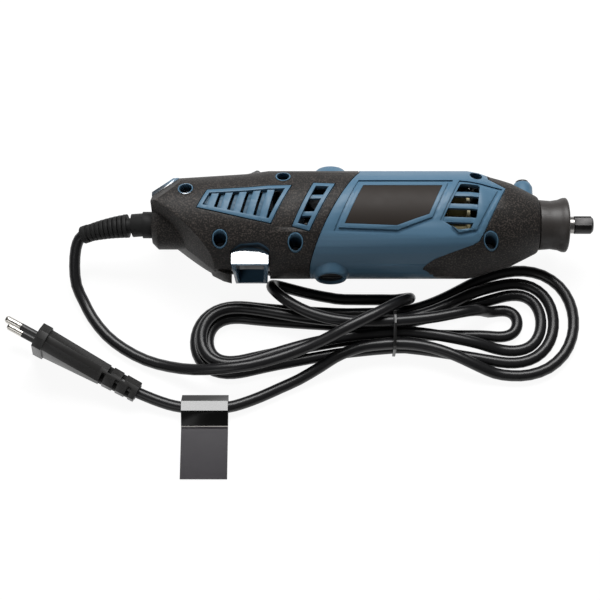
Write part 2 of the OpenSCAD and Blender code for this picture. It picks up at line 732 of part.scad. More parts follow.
module speed_control() placed() color([0.2, 0.35, 0.25]) translate([dial_spot[0], dial_spot[1], 0]) {
    translate([0, 0, -dial_t / 2 - 0.2]) cylinder(h = dial_t + 0.2, d = 3);
    translate([0, 0, -dial_t / 2 - 4.4]) cylinder(h = 4.2, d = 5.6);
}
module circuit_board() placed() color([0.1, 0.35, 0.2]) {
    translate([26, -10, -9]) cube([17, 14, 1.6]);
    translate([34, -8.5, -7.5]) cube([8, 7, 5]);
    translate([38, 1, -7.5]) cylinder(h = 4, d = 4.6);
}
// the ring's outline seen from the front, narrower at the foot, with its bars d inside
module ring_front(d) translate([ring_x, 0, ring_lift]) rotate([90, 0, 0]) linear_extrude(60) polygon([
    [-ring_w / 2 + d, ring_h / 2 - 0.8 * d], [ring_w / 2 - d, ring_h / 2 - 0.8 * d],
    [ring_w / 2 - d - ring_taper / 2, -ring_h / 2 + 0.8 * d],
    [-ring_w / 2 + d + ring_taper, -ring_h / 2 + 0.8 * d]]);
module hanging_ring() placed() color("steelblue") difference() {
    intersection() {
        translate([0, 0, -ring_h / 2 + ring_lift]) linear_extrude(ring_h) intersection() {
            arch_plan(0);
            translate([0, -body_r - 0.1]) square([200, body_r]);
        }
        ring_front(0);
    }
    ring_front(ring_bar);
    translate([0, ring_pin_y, ring_pin_z]) along_x()
        cylinder(h = 200, d = ring_pin_d + 2 * run_gap);
    // rounded lower edge, so that it turns in its pocket
    difference() {
        translate([0, ring_pin_y + 1, -ring_h / 2]) cube([200, 20, ring_h / 2 + ring_pin_z]);
        translate([0, ring_pin_y, ring_pin_z]) along_x() cylinder(h = 200, r = 3.1);
    }
}
module ring_pin() placed() color("silver") for (s = [-1, 1])
    translate([ring_x + s * (ring_w / 2 + ring_pin_reach - ring_pin_len / 2), ring_pin_y, ring_pin_z])
        along_x() cylinder(h = ring_pin_len, d = ring_pin_d, center = true);

// ---------------------------------------------------------------- cord guard and clamp

guard_neck_d = 11;
guard_lock_d = 15;
guard_bend_r = 76.7;
guard_bend = 28;
guard_tilt = -12;
guard_straight = 0.4;
rib_count = 9;
guard_tip_d = 9.4;
guard_root_d = 13;

module at_bend(a) translate([-guard_straight, 0, 0]) rotate([guard_tilt, 0, 0])
    translate([0, 0, -guard_bend_r]) rotate([0, -a, 0]) translate([0, 0, guard_bend_r]) children();

module cord_guard() placed() color([0.1, 0.1, 0.1]) {
    // the neck through the casing, with a flange on each side of the wall
    rod(-2, 7, guard_neck_d - 0.2);
    difference() { rod(4.9, 2.9, guard_lock_d - 0.2); rod(5, 5, cord_d + 0.2); }
    rod(-3.2, 5.3, 14.4);
    // plain collar, then ribs along the bend, on a slim core
    at_bend(6.4) along_x() cylinder(h = 8.6, d = guard_root_d - 0.4);
    for (i = [0:rib_count - 1]) at_bend(9 + i * (guard_bend - 13) / (rib_count - 1)) along_x()
        cylinder(h = 2, d = guard_root_d - 0.2 - (guard_root_d - guard_tip_d) * i / rib_count,
                 center = true);
    at_bend(guard_bend) along_x() cylinder(h = 3.4, d = guard_tip_d + 0.4);
    translate([-guard_straight, 0, 0]) rotate([guard_tilt, 0, 0]) translate([0, 0, -guard_bend_r])
        rotate([90, 0, 0]) rotate([0, 0, 90]) rotate_extrude(angle = guard_bend)
            translate([guard_bend_r, 0]) circle(d = guard_tip_d - 1);
}

module cord_clamp() placed() color([0.15, 0.15, 0.16]) difference() {
    translate([clamp_x, -6.9, 0.1]) cube([clamp_w, 13.8, 4.3]);
    rod(clamp_x - 1, clamp_w + 2, cord_d);
    for (s = [-1, 1]) translate([clamp_x + clamp_w / 2, s * clamp_screw_y, -1]) {
        cylinder(h = 20, d = 2.3);
        translate([0, 0, 3.9]) cylinder(h = 20, d = 3.5);
    }
}
module clamp_screws() placed() color("silver") for (s = [-1, 1])
    translate([clamp_x + clamp_w / 2, s * clamp_screw_y, 0]) {
        translate([0, 0, -5.5]) cylinder(h = 8.5, d = 2);
        translate([0, 0, 2.9]) cylinder(h = 1.5, d = 3.2);
    }

// a straight lead between two points
module lead(a, b, d) {
    v = b - a;
    translate(a) rotate([0, acos(v[2] / norm(v)), atan2(v[1], v[0])]) cylinder(h = norm(v), d = d);
}
module inner_leads() placed() color([0.3, 0.2, 0.12]) {
    rod(5.1, 13.4, cord_d);
    lead([19.4, 1.4, 1.2], [40.2, 13.6, 2.5], 1.8);
    lead([19.4, 1.4, -1.2], [30, 2.6, -6], 1.8);
}

// ---------------------------------------------------------------- cord

floor_z = cord_d / 2;
layer2 = floor_z + strand_pitch;
layer3 = floor_z + 2 * strand_pitch;
waist = [13, -51];
axis_slope = 0.064;

// where the cord crosses the waist each time, [distance from the hank's axis, height]
crossings = [[17.9, floor_z], [0, layer3], [strand_pitch / 2, floor_z],
             [strand_pitch / 2, floor_z], [strand_pitch / 2, layer2],
             [strand_pitch / 2, layer2], [strand_pitch * 1.5, floor_z],
             [strand_pitch * 1.5, floor_z], [strand_pitch * 1.5, layer2]];
// half turns, [reach, width, bluntness, step outwards, height]
half_turns = [[-67, 0, 0.4, 0, floor_z], [67, 15.2, 0.42, 0, floor_z],
              [-101.5, 25, 0.42, 0, floor_z], [80, 32.5, 0.6, 0, floor_z],
              [-101.5, 25, 0.42, strand_pitch / 2, floor_z + 0.87 * strand_pitch],
              [80, 32.5, 0.6, strand_pitch, floor_z],
              [-101.5, 25, 0.42, strand_pitch, floor_z],
              [83.5, 32.5, 0.6, 14.4, floor_z]];

function ease(t) = let (c = max(0, min(1, t))) c * c * (3 - 2 * c);
function unit(v) = v / norm(v);

// a point of half turn k at angle a, from 0 to 180
function first_fold(t, c0, c1, a) = let (f = (1 - cos(a)) / 2, x = t[0] * pow(sin(a), t[2]))
    [x, c0[0] * (1 - f) + c1[0] * f + 18 * sin(a), floor_z + (layer3 - floor_z) * ease(1.1 * f)];
function lobe(t, c0, c1, a) = let (
    reach = abs(t[0]), s = sin(a), c = cos(a), side = sign(t[0]),
    slope = [t[2] * reach * pow(max(s, 0.001), t[2] - 1) * c, t[1] * cos(2 * a)],
    out = s < 0.01 ? [0, sign(c)] : unit([-slope[1], slope[0]]),
    blend = ease(s / 0.55), near = c > 0 ? c0 : c1,
    step = near[0] * (1 - blend) + t[3] * blend)
    [side * (reach * pow(s, t[2]) + out[0] * step), side * (t[1] * c * s + out[1] * step),
     t[4] + (near[1] - t[4]) * sqrt(max(0, 1 - blend * blend))];
function fold_point(k, a) = let (
    p = k == 0 ? first_fold(half_turns[0], crossings[0], crossings[1], a)
               : lobe(half_turns[k], crossings[k], crossings[k + 1], a))
    [waist[0] + p[0], waist[1] + p[1] + axis_slope * p[0], p[2]];
// the n steps of a half turn are closer together at its round end
function fold_angle(i, n) = let (q = i / n * 2) q < 1 ? 90 * pow(q, 1.5) : 180 - 90 * pow(2 - q, 1.5);

hank_start = [waist[0] - cord_d, waist[1] + crossings[0][0], floor_z];
hank_end = [waist[0], waist[1] - crossings[8][0], layer2];
function hank_line(n) = concat([hank_start],
    [for (k = [0:7], i = [(k == 0 ? 1 : 0):n - 1]) fold_point(k, fold_angle(i, n))],
    [hank_end + [cord_d, 0, 0], hank_end]);

// route of the free stretch from the guard to the hank
run_route = [[-156.95, -1.88, 20.37], [-158.3, -2.03, 19.67], [-160, -4, 18.2], [-161.5, -9, 15.2],
             [-162.2, -16.5, 11], [-161.3, -26, 6.5],
             [-157, -35, 3.8], [-152, -44, 3.1], [-144, -54, 3.1], [-134, -62, 3.1],
             [-122, -68.5, 3.3], [-109, -73, 5.5], [-95, -76.5, 10.5], [-80, -77.5, 15.2],
             [-65, -76, 16.6], [-52, -72.5, 16.8], [-39, -68, 17.5], [-27, -63.5, 20],
             [-15, -58, 23.5], [-3, -52, 24.2], [6, -46.5, 22], [14, -41, 18.5],
             [20.5, -36.7, 13.5], [20.5, -33.8, 7], [14, -33.1, 3.1]];
// route of the free stretch from the hank to the plug
plug_route = [[4, -62, 10], [-4, -63, 10], [-12, -65.5, 9.8], [-20, -69, 8.6],
              [-28, -73.5, 5.8], [-39, -79.5, 3.5], [-49, -84.2, 3.1], [-60, -89.4, 3.1],
              [-70, -93.4, 3.5], [-77, -95.3, 3.8], [-84, -95.6, 3.8], [-95, -95.6, 3.8],
              [-102, -95.3, 3.8], [-109, -93.8, 4], [-117, -91.2, 4.8]];

// a tube of n sides along a line of points
module tube(line, d, n) {
    m = len(line);
    way = [for (i = [0:m - 1]) unit(line[min(i + 1, m - 1)] - line[max(i - 1, 0)])];
    side = [for (i = 0, v = unit(cross([0, 0, 1], way[0])); i < m;
                 i = i + 1, v = i < m ? unit(v - (v * way[i]) * way[i]) : v) v];
    points = [for (i = [0:m - 1], j = [0:n - 1]) let (a = 360 * (j + 0.5) / n)
        line[i] + d / 2 * (cos(a) * side[i] + sin(a) * cross(way[i], side[i]))];
    walls = [for (i = [0:m - 2], j = [0:n - 1]) let (a = i * n + j, b = i * n + (j + 1) % n)
        each [[a, b, a + n], [b, b + n, a + n]]];
    first = [for (j = [1:n - 2]) [0, j + 1, j]];
    last = [for (j = [1:n - 2]) [(m - 1) * n, (m - 1) * n + j, (m - 1) * n + j + 1]];
    polyhedron(points, concat(walls, first, last));
}

// least gap of the hank to itself, between points more than a few steps apart
gap_line = hank_line(24);
gap_skip = 8;
least_gap = min([for (i = [0:len(gap_line) - 1 - gap_skip])
    for (j = [i + gap_skip:len(gap_line) - 1]) norm(gap_line[i] - gap_line[j])]) - cord_d;
echo(least_gap_of_the_hank = least_gap);

// inside of the tie's cross-section at the waist, [distance from the axis, height]
tie_line = [[-13.5, 0.9], [13.5, 0.9], [13.6, 4.4], [11.6, 7.2], [7.6, 12.6], [3.6, 19],
            [1.4, 20.3], [-2, 20.2], [-12.6, 13.4], [-13.8, 11]];

module cord_run() color([0.09, 0.09, 0.09]) tube(concat(run_route, [hank_start]), cord_d, 8);
module cord_hank() color([0.09, 0.09, 0.09]) tube(hank_line(12), cord_d, 6);
module cord_plug_run() color([0.09, 0.09, 0.09])
    tube(concat([hank_end], plug_route, [plug_tail]), cord_d, 8);

module twist_tie() color([0.08, 0.08, 0.08]) translate([waist[0] - 1.5, waist[1], 0])
    rotate([90, 0, 90]) linear_extrude(1.6) difference() {
        polygon([for (p = tie_line) [p[0] + 0.7 * sign(p[0]), p[1] < 1 ? 0 : p[1] + 0.8]]);
        polygon(tie_line);
    }

// the sheet goes round the cord and its two leaves are stuck together
tag_w = 25;
tag_x = -89.5;
tag_reach = 38.5;
tag_z = 3.8;
tag_loop = 7.9;
module cord_tag() color([0.07, 0.07, 0.07]) translate([tag_x - tag_w / 2, -95.6, 0])
    rotate([90, 0, 90]) linear_extrude(tag_w) difference() {
        polygon([[-tag_reach, 0], [tag_loop, 0], [tag_loop + 0.3, 0.6], [tag_loop - 0.3, 1.2],
                 [2.6, tag_z + 3.6], [-2.8, tag_z + 3.5], [-4.4, tag_z + 1.6], [-11, 1.4],
                 [-tag_reach, 0.7]]);
        translate([0, tag_z]) circle(r = 3.2);
        polygon([[1, tag_z + 3], [2.3, tag_z + 3], [tag_loop - 0.8, 1], [tag_loop - 1.4, 0.6],
                 [1, 0.6]]);
        polygon([[-1, tag_z + 3], [-2.4, tag_z + 2.9], [-3.9, tag_z + 1.2], [-10.4, 0.8], [-1, 0.6]]);
    }

// ---------------------------------------------------------------- plug

plug_tail = [-125.2, -88, 6];
plug_turn = 153.6;
plug_rise = 10.9;
plug_roll = -5;
flange_t = 5.5;
module at_plug() translate(plug_tail) rotate([0, 0, plug_turn]) rotate([0, -plug_rise, 0])
    rotate([plug_roll, 0, 0]) children();

function flat_hex(w, t) = let (tip = t * 0.15, flat = w / 2 - (t / 2 - tip) * 0.95) [
    [-w / 2, -tip], [-flat, -t / 2], [flat, -t / 2], [w / 2, -tip],
    [w / 2, tip], [flat, t / 2], [-flat, t / 2], [-w / 2, tip]];
// a slice of the plug's outline at x, w high and t thick
module slice(x, len, w, t) translate([x, 0, 0]) rotate([90, 0, 90])
    linear_extrude(len) polygon([for (p = flat_hex(w, t)) [p[1], p[0]]]);

module plug_body() color([0.1, 0.1, 0.1]) at_plug() {
    slice(plug_len - flange_t, flange_t, plug_w, plug_t);
    hull() {
        slice(plug_len - flange_t - 0.1, 0.2, plug_w - 4.5, plug_t - 1.6);
        slice(23, 0.2, 16.5, 11.4);
    }
    // strain relief, slit from both sides in turn
    difference() {
        hull() { slice(0.4, 0.1, 13.8, 10.4); slice(23, 0.1, 16.4, 11.3); }
        for (x = [10, 18]) translate([x - 1.1, -20, -10]) cube([2.2, 19.4, 20]);
        for (x = [4.9, 12.4, 20.4]) translate([x - 1.1, 0.6, -10]) cube([2.2, 20, 20]);
    }
    rod(0, 22, 8.4);
}
module at_pins(x) for (s = [-1, 1]) translate([x, 0, s * pin_pitch / 2]) along_x() children();
module pin_sleeves() color([0.08, 0.08, 0.08]) at_plug() at_pins(plug_len)
    difference() { cylinder(h = pin_len * 0.53, d = pin_d); cylinder(h = 30, d = pin_d - 1.2); }
module plug_pins() color("silver") at_plug() {
    at_pins(plug_len) cylinder(h = pin_len * 0.53, d = pin_d - 1.2);
    at_pins(plug_len + pin_len * 0.53) {
        cylinder(h = pin_len * 0.47 - 1, d = pin_d);
        translate([0, 0, pin_len * 0.47 - 1]) cylinder(h = 1, d1 = pin_d, d2 = pin_d - 1.2);
    }
}

upper_housing();
lower_housing();
tail_grip_upper();
tail_grip_lower();
nose_grip_upper();
nose_grip_lower();
rating_plate();
housing_screws();
brush_cap_front();
brush_cap_back();
brush_holder_front();
brush_holder_back();
carbon_brush_front();
carbon_brush_back();
brush_spring_front();
brush_spring_back();
field_core();
field_coils();
rear_bearing();
front_bearing();
spindle_bearing();
motor_shaft();
armature_core();
armature_windings();
commutator();
cooling_fan();
collet();
collet_nut();
nose_cap();
lock_button();
lock_spring();
switch_slider();
power_switch();
speed_dial();
speed_control();
circuit_board();
hanging_ring();
ring_pin();
cord_clamp();
clamp_screws();
inner_leads();
cord_guard();
cord_run();
cord_hank();
cord_plug_run();
twist_tie();
cord_tag();
plug_body();
pin_sleeves();
plug_pins();
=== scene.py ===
# %% [markdown]
# A corded rotary tool, dressed for looks
#
# The tool is a slim motor in a two-part casing, held like a thick pen. A hard blue band wraps
# the motor, soft dark grips cover the tail and the nose, and a flexible cord lies beside it in
# a tied hank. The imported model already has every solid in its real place, in metres, with +X
# along the tool's axis, +Z up and the table at z = 0, so each cell below only adds surface:
# rounded edges, finishes, and the soft pieces that a solid can't show.

# %% Load the frame
import json
import math

import bmesh
import bpy
from mathutils import Matrix, Vector

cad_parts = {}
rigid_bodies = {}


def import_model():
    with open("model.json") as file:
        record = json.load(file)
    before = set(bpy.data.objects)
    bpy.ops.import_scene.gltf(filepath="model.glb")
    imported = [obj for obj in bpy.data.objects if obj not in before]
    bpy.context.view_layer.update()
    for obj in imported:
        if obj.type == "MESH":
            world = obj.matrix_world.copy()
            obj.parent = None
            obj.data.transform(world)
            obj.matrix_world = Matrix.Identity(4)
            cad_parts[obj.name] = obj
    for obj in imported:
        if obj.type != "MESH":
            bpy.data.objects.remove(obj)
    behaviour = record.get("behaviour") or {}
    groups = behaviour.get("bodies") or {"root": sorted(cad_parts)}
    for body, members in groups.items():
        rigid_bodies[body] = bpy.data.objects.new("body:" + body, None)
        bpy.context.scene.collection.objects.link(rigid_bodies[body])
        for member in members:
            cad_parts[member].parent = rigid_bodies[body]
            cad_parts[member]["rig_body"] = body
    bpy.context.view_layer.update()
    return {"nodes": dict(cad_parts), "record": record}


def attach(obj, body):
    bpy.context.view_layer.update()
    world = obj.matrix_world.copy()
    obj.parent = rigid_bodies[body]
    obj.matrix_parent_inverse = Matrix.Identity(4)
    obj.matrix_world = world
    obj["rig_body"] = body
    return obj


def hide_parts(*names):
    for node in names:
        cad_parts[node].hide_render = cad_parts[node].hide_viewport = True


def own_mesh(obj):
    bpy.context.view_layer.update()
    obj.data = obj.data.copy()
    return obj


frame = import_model()
slot_of = {row["node"]: row["material_slot"] for row in frame["record"]["subparts"]}
MM = 0.001
MM_PER_M = 1000

# %% [markdown]
# The camera
#
# A long lens from a little under a metre keeps the barrel's sides nearly parallel. The camera
# looks steeply down and a little from the front, so the plan outlines of the vents stay true
# while the near flank still shows its depth.

# %% Make the camera
CAMERA_PLACE = (-0.03862, -0.35654, 0.79537)
CAMERA_PITCH = 67.8  # degrees below level
CAMERA_LENS = 93.42  # mm, for a sensor 36 mm wide
camera = bpy.data.objects.new("studio_camera", bpy.data.cameras.new("studio_camera"))
bpy.context.scene.collection.objects.link(camera)
camera.data.sensor_width = 36
camera.data.lens = CAMERA_LENS
camera.location = CAMERA_PLACE
camera.rotation_euler = (math.radians(90 - CAMERA_PITCH), 0, 0)
bpy.context.scene.camera = camera
print("lens", camera.data.lens, "mm")

# %% [markdown]
# The hank in numbers
#
# The cord is one flexible lead of about two metres. It leaves the ribbed guard, swings round
# to the front, climbs over the hank, hooks round its waist and is then folded to and fro in a
# flat hank before it runs out to the plug. Typing every point of the hank would hide the idea
# of it, so each half turn is one row: how far it reaches, how wide its lobe is and how blunt
# its end. The rows of the crossings say where the strands pass the waist and how high.

# %% Give the hank's sizes, in mm
CORD_D = 6.2
STRAND = 6.9  # from the middle of one strand to the middle of the next
FLOOR_Z = CORD_D / 2
LAYER_2, LAYER_3 = FLOOR_Z + STRAND, FLOOR_Z + 2 * STRAND
WAIST = (13.0, -51.0)
SLOPE = 0.064  # the hank lies a little askew to the tool

# each crossing of the waist: distance out from its middle, height
CROSSINGS = [(17.9, FLOOR_Z), (0, LAYER_3), (STRAND / 2, FLOOR_Z), (STRAND / 2, FLOOR_Z),
             (STRAND / 2, LAYER_2), (STRAND / 2, LAYER_2), (STRAND * 1.5, FLOOR_Z),
             (STRAND * 1.5, FLOOR_Z), (STRAND * 1.5, LAYER_2)]

# each half turn: reach from the waist, half width, bluntness, step outwards, height
HALF_TURNS = [(-67, 0, 0.4, 0, FLOOR_Z),
              (67, 15.2, 0.42, 0, FLOOR_Z),
              (-101.5, 25, 0.42, 0, FLOOR_Z),
              (80, 32.5, 0.6, 0, FLOOR_Z),
              (-101.5, 25, 0.42, STRAND / 2, FLOOR_Z + 0.87 * STRAND),
              (80, 32.5, 0.6, STRAND, FLOOR_Z),
              (-101.5, 25, 0.42, STRAND, FLOOR_Z),
              (83.5, 32.5, 0.6, 14.4, FLOOR_Z)]
print("half turns:", len(HALF_TURNS), "crossings:", len(CROSSINGS))

# %% [markdown]
# One fold as a formula
#
# A lobe could be an arc, but a folded lead bulges: it is narrow at the tied waist, wide
# further out and blunt at its end. Powers of a sine and a doubled angle give that outline.
# Each next lobe lies further out along the outline's own normal, so the strands lie side by
# side and never pass through each other, and near the waist the cord climbs to its crossing.

# %% Find a point of a half turn
HOOK_SWELL = 18  # mm that the first half turn bows out
HOOK_CLIMB = 1.1  # how soon it reaches its full height
WAIST_PULL = 0.55  # the sine up to which the waist draws a lobe in
NEAR_WAIST = 0.01  # the sine below which a lobe's normal is the waist's own
SMALL = 0.001  # keeps the outline's slope finite at the waist


def ease(t):
    """0 to 1 with a soft start and end."""
    t = min(max(t, 0.0), 1.0)
    return t * t * (3 - 2 * t)


def hook_point(row, s, c):
    """The first half turn, which hooks over the waist."""
    reach, blunt = row[0], row[2]
    share = (1 - c) / 2
    return (reach * s ** blunt,
            CROSSINGS[0][0] * (1 - share) + HOOK_SWELL * s,
            FLOOR_Z + (LAYER_3 - FLOOR_Z) * ease(HOOK_CLIMB * share))


def lobe_point(row, near, angle, s, c):
    """A later half turn, stepped out along the normal of its lobe."""
    reach, width, blunt, step, height = row
    side, size = math.copysign(1, reach), abs(reach)
    slope = Vector((blunt * size * max(s, SMALL) ** (blunt - 1) * c,
                    width * math.cos(math.radians(2 * angle))))
    if s < NEAR_WAIST:
        out = Vector((0, math.copysign(1, c)))
    else:
        out = Vector((-slope.y, slope.x)).normalized()
    blend = ease(s / WAIST_PULL)
    offset = near[0] * (1 - blend) + step * blend
    return (side * (size * s ** blunt + out.x * offset),
            side * (width * c * s + out.y * offset),
            height + (near[1] - height) * math.sqrt(max(0.0, 1 - blend * blend)))


def fold_point(k, angle):
    """The cord's centre on half turn k of the hank, at an angle from 0 to 180 degrees."""
    row = HALF_TURNS[k]
    s, c = math.sin(math.radians(angle)), math.cos(math.radians(angle))
    near = CROSSINGS[k] if c > 0 else CROSSINGS[k + 1]
    x, y, z = lobe_point(row, near, angle, s, c) if k else hook_point(row, s, c)
    return (WAIST[0] + x, WAIST[1] + y + SLOPE * x, z)


print("a long lobe ends at x =", round(fold_point(2, 90)[0], 1), "mm")

# %% [markdown]
# The whole route
#
# Outside the hank the lead follows no formula, so its two free stretches are listed: the run
# from the guard over the hank, and the run from the waist to the plug. The heights matter most
# here. The lead lies on the table, rises over the strands that it crosses and comes down again.

# %% Join the route, in mm
POINTS_A_TURN = 24
RUN_ROUTE = [(-156.95, -1.88, 20.37), (-159.4, -3.6, 18.9), (-161.4, -8.2, 16.2),
             (-162.3, -16.5, 11.4), (-161.3, -26, 6.7), (-157, -35, 3.8), (-152, -44, 3.1),
             (-144, -54, 3.1), (-134, -62, 3.1), (-122, -68.5, 3.3), (-109, -73, 5.5),
             (-95, -76.5, 10.5), (-80, -77.5, 15.2), (-65, -76, 16.6), (-52, -72.5, 16.8),
             (-39, -68, 17.5), (-27, -63.5, 20), (-15, -58, 23.5), (-3, -52, 24.2),
             (6, -46.5, 22), (14, -41, 18.5), (20.5, -36.7, 13.5), (20.5, -33.8, 7),
             (14, -33.1, 3.1)]
PLUG_ROUTE = [(13, -61.35, 10), (4, -62, 10), (-4, -63, 10), (-12, -65.5, 9.8), (-20, -69, 8.6),
              (-28, -73.5, 5.8), (-39, -79.5, 3.5), (-49, -84.2, 3.1), (-60, -89.4, 3.1),
              (-70, -93.4, 3.5), (-77, -95.3, 3.8), (-84, -95.6, 3.8), (-95, -95.6, 3.8),
              (-102, -95.3, 3.8), (-109, -93.8, 4), (-117, -91.2, 4.8), (-125.2, -88, 6)]


def fold_angles(count):
    """Angles over a half turn, closer together where the lobe is round."""
    for i in range(count):
        q = 2 * i / count
        yield 90 * q ** 1.5 if q < 1 else 180 - 90 * (2 - q) ** 1.5


def line_length(points):
    """The length of a line through points."""
    return sum((b - a).length for a, b in zip(points, points[1:]))


# one point stands for the first two of the hook
hank_line = [(WAIST[0] - CORD_D, WAIST[1] + CROSSINGS[0][0], FLOOR_Z)]
for k in range(len(HALF_TURNS)):
    turn = [fold_point(k, angle) for angle in fold_angles(POINTS_A_TURN)]
    hank_line += turn if k else turn[2:]
cord_route = [Vector(p) * MM for p in RUN_ROUTE + hank_line + PLUG_ROUTE]
print("cord points", len(cord_route), "length", round(line_length(cord_route), 3), "m")

# %% [markdown]
# The cord itself
#
# A curve with a round bevel is the simplest flexible lead: it keeps its real thickness however
# it turns. A smooth line is threaded through the points first, so small corners between them
# melt away.

# %% Sweep the cord along its route
def smooth_line(points, per_span):
    """Points on a Catmull-Rom line through the given points."""
    line = []
    for i in range(len(points) - 1):
        a, b = points[max(i - 1, 0)], points[i]
        c, d = points[i + 1], points[min(i + 2, len(points) - 1)]
        for j in range(per_span):
            t = j / per_span
            line.append(0.5 * (2 * b + (c - a) * t + (2 * a - 5 * b + 4 * c - d) * t ** 2
                               + (3 * b - a - 3 * c + d) * t ** 3))
    return line + [points[-1]]


def cord_curve(name, points, width):
    """A round lead through the points, as a curve with closed ends."""
    curve = bpy.data.curves.new(name, "CURVE")
    curve.dimensions = "3D"
    # a depth of 1 leaves the lead's thickness to the radius of its points
    curve.bevel_depth = 1.0
    curve.bevel_resolution = 5
    curve.use_fill_caps = True
    spline = curve.splines.new("POLY")
    spline.points.add(len(points) - 1)
    for spot, p in zip(spline.points, points):
        spot.co = (*p, 1)
        spot.radius = width / 2
    spline.use_smooth = True
    piece = bpy.data.objects.new(name, curve)
    bpy.context.scene.collection.objects.link(piece)
    return piece


POINTS_A_SPAN = 2
cord_line = smooth_line(cord_route, POINTS_A_SPAN)
mains_cord = cord_curve("mains_cord", cord_line, CORD_D * MM)
cord_length = line_length(cord_line)
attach(mains_cord, "casing")
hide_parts("cord_run", "cord_hank", "cord_plug_run")
print("cord swept,", len(cord_line), "points,", round(cord_length, 3), "m")

# %% [markdown]
# Shader maths as Python
#
# Finishes are built from masks: noise, distance, a step at an edge. A small wrapper turns each
# socket into something that adds and multiplies like a number, so that a mask reads as a
# formula while Blender gets its chain of Math nodes. Every other node comes from one method,
# which takes the node's type, its settings and what its sockets are given.

# %% A socket that does sums
class Wire:
    """One output socket of a node tree, with the operators of numbers."""

    def __init__(self, nodes, value):
        self.nodes, self.value = nodes, value

    def _math(self, operation, first, second):
        return self.nodes.node("ShaderNodeMath", {"operation": operation},
                               {0: first, 1: second})[0]

    def __add__(self, other): return self._math("ADD", self, other)
    def __radd__(self, other): return self._math("ADD", other, self)
    def __sub__(self, other): return self._math("SUBTRACT", self, other)
    def __rsub__(self, other): return self._math("SUBTRACT", other, self)
    def __mul__(self, other): return self._math("MULTIPLY", self, other)
    def __rmul__(self, other): return self._math("MULTIPLY", other, self)
    def power(self, other): return self._math("POWER", self, other)
    def above(self, other): return self._math("GREATER_THAN", self, other)
    def larger(self, other): return self._math("MAXIMUM", self, other)
    def smaller(self, other): return self._math("MINIMUM", self, other)

    def step(self, low, high):
        """0 below low, 1 above high, smooth between."""
        return self.nodes.node("ShaderNodeMapRange", {"interpolation_type": "SMOOTHSTEP"},
                               {"Value": self, "From Min": low, "From Max": high})[0]


class Nodes:
    """Short calls that fill one node tree."""

    def __init__(self, tree):
        self.tree = tree

    def put(self, node, values):
        """Give sockets their links or values, by name or by number."""
        for key, value in values.items():
            socket = node.inputs[key]
            value = value.value if isinstance(value, Wire) else value
            if isinstance(value, bpy.types.NodeSocket):
                self.tree.links.new(value, socket)
            else:
                socket.default_value = value

    def node(self, kind, settings, values):
        """Add a node and return its outputs as wires, by number and by name."""
        node = self.tree.nodes.new(kind)
        for key, value in settings.items():
            setattr(node, key, value)
        self.put(node, values)
        wires = [Wire(self, s) for s in node.outputs]
        return dict(enumerate(wires)) | {s.name: w for s, w in zip(node.outputs, wires)}


print("wires ready")

# %% [markdown]
# A finish
#
# Each finish is one material with one Principled shader. Its patterns read Object coordinates,
# because every piece has its object at the origin and its place in its mesh: a pattern then
# has the same real size on all pieces and stays where it is on each of them.

# %% A material with patterns in real millimetres
FINISHES = {}


class Finish(Nodes):
    """A material with one Principled shader, and short calls for its patterns."""

    def __init__(self, name, color, roughness, metallic=0.0, **sockets):
        self.material = bpy.data.materials.new(name)
        self.material.use_nodes = True
        super().__init__(self.material.node_tree)
        self.shader = self.tree.nodes["Principled BSDF"]
        self.set(Base_Color=(*color, 1), Roughness=roughness, Metallic=metallic, **sockets)
        self.place = self.node("ShaderNodeTexCoord", {}, {})["Object"]
        FINISHES[name] = self

    def set(self, **values):
        """Set the shader's sockets, with _ for the spaces in their names."""
        self.put(self.shader, {key.replace("_", " "): value for key, value in values.items()})

    def noise(self, size_mm, detail, where=None):
        """Noise whose blotches are about size_mm across, from 0 to 1."""
        return self.node("ShaderNodeTexNoise", {}, {
            "Vector": where or self.place, "Scale": MM_PER_M / size_mm,
            "Detail": detail})["Fac"]

    def cells(self, size_mm):
        """Distance to the nearest of scattered points about size_mm apart."""
        return self.node("ShaderNodeTexVoronoi", {}, {
            "Vector": self.place, "Scale": MM_PER_M / size_mm})["Distance"]

    def axes(self):
        """The x, y and z of a point of the surface, in metres."""
        split = self.node("ShaderNodeSeparateXYZ", {}, {0: self.place})
        return split[0], split[1], split[2]

    def mix(self, factor, first, second):
        """A colour between two colours; each is a wire or three numbers."""
        first, second = [c if isinstance(c, Wire) else (*c, 1) for c in (first, second)]
        # a Mix node has sockets for every kind of data; 6 and 7 are the colours
        return self.node("ShaderNodeMix", {"data_type": "RGBA"},
                         {0: factor, 6: first, 7: second})[2]

    def bump(self, height, depth_mm):
        """Raise the surface where height is 1, by about depth_mm."""
        normal = self.node("ShaderNodeBump", {}, {
            "Height": height, "Distance": depth_mm * MM})[0]
        self.set(Normal=normal)


print("finish helper ready")

# %% [markdown]
# Moulded plastic
#
# Moulded plastic is never one flat colour: it has a fine spark-eroded grain, faint flow marks
# and a little handling shine. One function makes all of these finishes, since they differ only
# in colour, gloss and grain. The blue ones also get a clear coat, with a weight of 0 for now:
# masks further down let it in at the few spots that handling has polished.

# %% Make the plastics
FLOW_MM, HANDLED_MM = 28, 9  # how large the flow marks and the handled patches are
HANDLING = 0.12  # how much the roughness varies with them


def moulded(name, color, roughness, grain_mm=0.35, depth_mm=0.012, wear=0.06, **sockets):
    """Plastic or rubber from a mould, its colour varied by the share called wear."""
    finish = Finish(name, color, roughness, **sockets)
    shade = (finish.noise(FLOW_MM, 2) - 0.5) * wear * 2 + 0.5
    dark = [c * (1 - 2 * wear) for c in color]
    light = [min(c * (1 + 2 * wear), 1) for c in color]
    finish.set(Base_Color=finish.mix(shade, dark, light),
               Roughness=finish.noise(HANDLED_MM, 2) * HANDLING + (roughness - HANDLING / 2))
    finish.bump(finish.noise(grain_mm, 3), depth_mm)
    return finish


